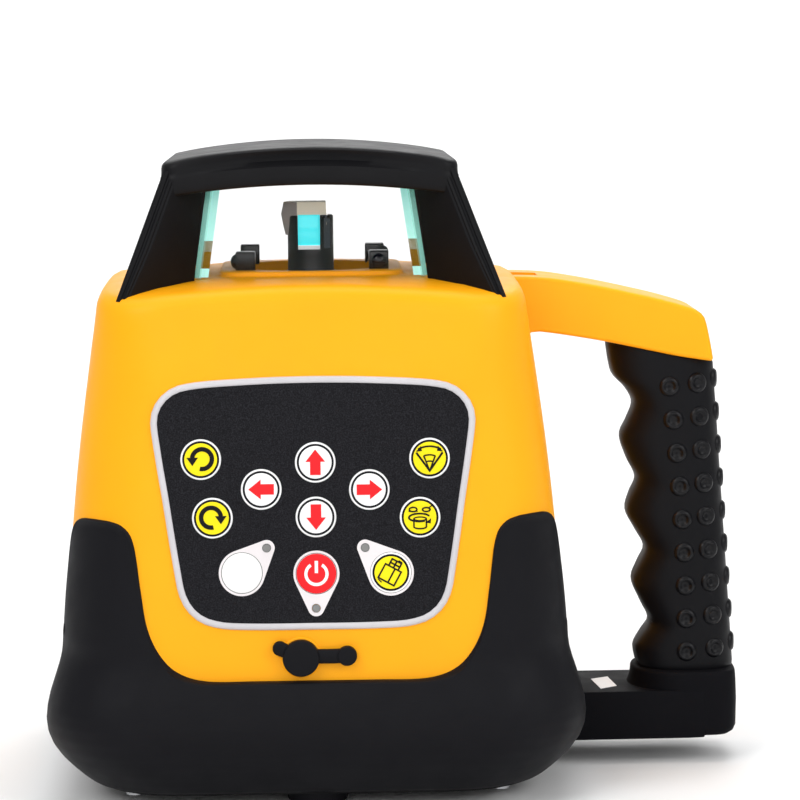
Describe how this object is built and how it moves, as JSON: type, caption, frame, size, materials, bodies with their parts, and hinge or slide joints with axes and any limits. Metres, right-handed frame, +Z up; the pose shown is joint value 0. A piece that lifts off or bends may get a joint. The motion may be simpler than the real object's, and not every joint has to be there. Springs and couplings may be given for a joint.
{
  "type": "rotating laser level",
  "caption": "Self-levelling rotating laser level: rounded casing in a rubber boot, glazed rotor head under a roofed cage, membrane keypad and a side carrying handle.",
  "frame": {"origin": "mouth of the tripod thread, level with the feet, under the rotor's axis", "axes": "+Z up along the rotor's axis, keypad towards -Y, carrying handle towards +X"},
  "size_m": [0.221, 0.168, 0.203],
  "materials": {
    "yellow_casing": "fine-grained moulded plastic",
    "black_rubber": "soft matt rubber",
    "black_plastic": "grained moulded plastic",
    "clear_glass": "clear float glass",
    "prism_glass": "coated optical glass",
    "steel": "turned steel",
    "aluminium": "anodised",
    "brass": "turned brass",
    "circuit_board": "solder-masked laminate",
    "overlay_black": "finely textured film",
    "bezel_silver": "silver-white moulding",
    "key_yellow": "printed film",
    "key_white": "printed film",
    "key_red": "printed film",
    "led_grey": "unlit lamp window",
    "cell_wrap": "shrink sleeve",
    "seal_foam": "pale foam"
  },
  "bodies": {
    "housing": {"upper_casing": "yellow_casing", "rubber_boot": "black_rubber", "base_plate": "black_plastic", "rubber_feet": "black_rubber", "tripod_insert": "brass", "roof_cage": "black_plastic", "front_glass": "clear_glass", "rear_glass": "clear_glass", "left_glass": "clear_glass", "right_glass": "clear_glass", "remote_receivers": "black_plastic", "dust_seal": "seal_foam", "gimbal_frame": "aluminium", "level_motor_x": "steel", "level_motor_y": "steel", "keypad_overlay": "overlay_black", "keypad_bezel": "bezel_silver", "keypad_board": "circuit_board", "status_leds": "led_grey", "main_board": "circuit_board", "charge_socket": "black_plastic", "port_cover_anchor": "black_rubber", "battery_holder": "black_plastic", "battery_cells": "cell_wrap", "door_hinge_pin": "steel", "handle_grip": "black_rubber", "handle_core": "black_plastic", "lower_arm": "black_plastic", "casing_screws": "steel"},
    "gimbal": {"gimbal_ring": "aluminium", "ring_pins": "steel"},
    "laser_head": {"laser_tube": "aluminium", "collimator_lens": "clear_glass", "laser_diode_module": "brass", "spindle_bearings": "steel", "tube_pins": "steel", "spin_motor": "steel", "drive_belt": "black_rubber", "level_sensors": "clear_glass"},
    "rotor": {"prism_housing": "black_plastic", "pentaprism": "prism_glass", "spindle": "steel", "rotor_pulley": "black_plastic"},
    "motor_shaft": {"motor_pulley": "brass"},
    "nut_x": {"traveller_nut_x": "brass"},
    "nut_y": {"traveller_nut_y": "brass"},
    "port_flap": {"port_cover": "black_rubber"},
    "door": {"battery_door": "black_plastic"},
    "knob": {"door_knob": "black_plastic"},
    "button_turn_left": {"key_turn_left": "key_yellow"},
    "button_turn_right": {"key_turn_right": "key_yellow"},
    "button_up": {"key_up": "key_white"},
    "button_down": {"key_down": "key_white"},
    "button_left": {"key_left": "key_white"},
    "button_right": {"key_right": "key_white"},
    "button_scan": {"key_scan": "key_yellow"},
    "button_speed": {"key_speed": "key_yellow"},
    "button_manual": {"key_manual": "key_white"},
    "button_power": {"key_power": "key_red"},
    "button_shock": {"key_shock": "key_yellow"}
  },
  "joints": [
    {"name": "tilt_y", "type": "hinge", "parent": "housing", "child": "gimbal", "pos_m": [0, 0, 0.112], "axis": [0, 1, 0], "range_deg": [-5, 5]},
    {"name": "tilt_x", "type": "hinge", "parent": "gimbal", "child": "laser_head", "pos_m": [0, 0, 0.112], "axis": [1, 0, 0], "range_deg": [-5, 5]},
    {"name": "head_spin", "type": "hinge", "parent": "laser_head", "child": "rotor", "pos_m": [0, 0, 0.165], "axis": [0, 0, 1], "continuous": true},
    {"name": "motor_spin", "type": "hinge", "parent": "laser_head", "child": "motor_shaft", "pos_m": [-0.027, 0, 0.148], "axis": [0, 0, 1], "continuous": true},
    {"name": "nut_x_travel", "type": "slide", "parent": "housing", "child": "nut_x", "axis": [0, 0, 1], "range_m": [-0.0034, 0.0034]},
    {"name": "nut_y_travel", "type": "slide", "parent": "housing", "child": "nut_y", "axis": [0, 0, 1], "range_m": [-0.0039, 0.0039]},
    {"name": "port_cover_hinge", "type": "hinge", "parent": "housing", "child": "port_flap", "pos_m": [0.005, -0.0791, 0.049], "axis": [0, 0, 1], "range_deg": [0, 100]},
    {"name": "battery_door_hinge", "type": "hinge", "parent": "housing", "child": "door", "pos_m": [0, 0.07779, 0.06077], "axis": [-1, 0, 0], "range_deg": [0, 95]},
    {"name": "door_knob_turn", "type": "hinge", "parent": "door", "child": "knob", "pos_m": [0, 0.07059, 0.12336], "axis": [0, 0.9951, 0.0985], "range_deg": [0, 90]},
    {"name": "press_turn_left", "type": "slide", "parent": "housing", "child": "button_turn_left", "axis": [0, 0.9951, -0.0985], "range_m": [0, 0.0005], "stiffness_N_per_m": 800},
    {"name": "press_turn_right", "type": "slide", "parent": "housing", "child": "button_turn_right", "axis": [0, 0.9951, -0.0985], "range_m": [0, 0.0005], "stiffness_N_per_m": 800},
    {"name": "press_up", "type": "slide", "parent": "housing", "child": "button_up", "axis": [0, 0.9951, -0.0985], "range_m": [0, 0.0005], "stiffness_N_per_m": 800},
    {"name": "press_down", "type": "slide", "parent": "housing", "child": "button_down", "axis": [0, 0.9951, -0.0985], "range_m": [0, 0.0005], "stiffness_N_per_m": 800},
    {"name": "press_left", "type": "slide", "parent": "housing", "child": "button_left", "axis": [0, 0.9951, -0.0985], "range_m": [0, 0.0005], "stiffness_N_per_m": 800},
    {"name": "press_right", "type": "slide", "parent": "housing", "child": "button_right", "axis": [0, 0.9951, -0.0985], "range_m": [0, 0.0005], "stiffness_N_per_m": 800},
    {"name": "press_scan", "type": "slide", "parent": "housing", "child": "button_scan", "axis": [0, 0.9951, -0.0985], "range_m": [0, 0.0005], "stiffness_N_per_m": 800},
    {"name": "press_speed", "type": "slide", "parent": "housing", "child": "button_speed", "axis": [0, 0.9951, -0.0985], "range_m": [0, 0.0005], "stiffness_N_per_m": 800},
    {"name": "press_manual", "type": "slide", "parent": "housing", "child": "button_manual", "axis": [0, 0.9951, -0.0985], "range_m": [0, 0.0005], "stiffness_N_per_m": 800},
    {"name": "press_power", "type": "slide", "parent": "housing", "child": "button_power", "axis": [0, 0.9951, -0.0985], "range_m": [0, 0.0005], "stiffness_N_per_m": 800},
    {"name": "press_shock", "type": "slide", "parent": "housing", "child": "button_shock", "axis": [0, 0.9951, -0.0985], "range_m": [0, 0.0005], "stiffness_N_per_m": 800}
  ],
  "couplings": [
    {"joint": "motor_spin", "follows": "head_spin", "ratio": 3},
    {"joint": "nut_x_travel", "follows": "tilt_x", "m_per_rad": -0.038},
    {"joint": "nut_y_travel", "follows": "tilt_y", "m_per_rad": -0.044}
  ]
}
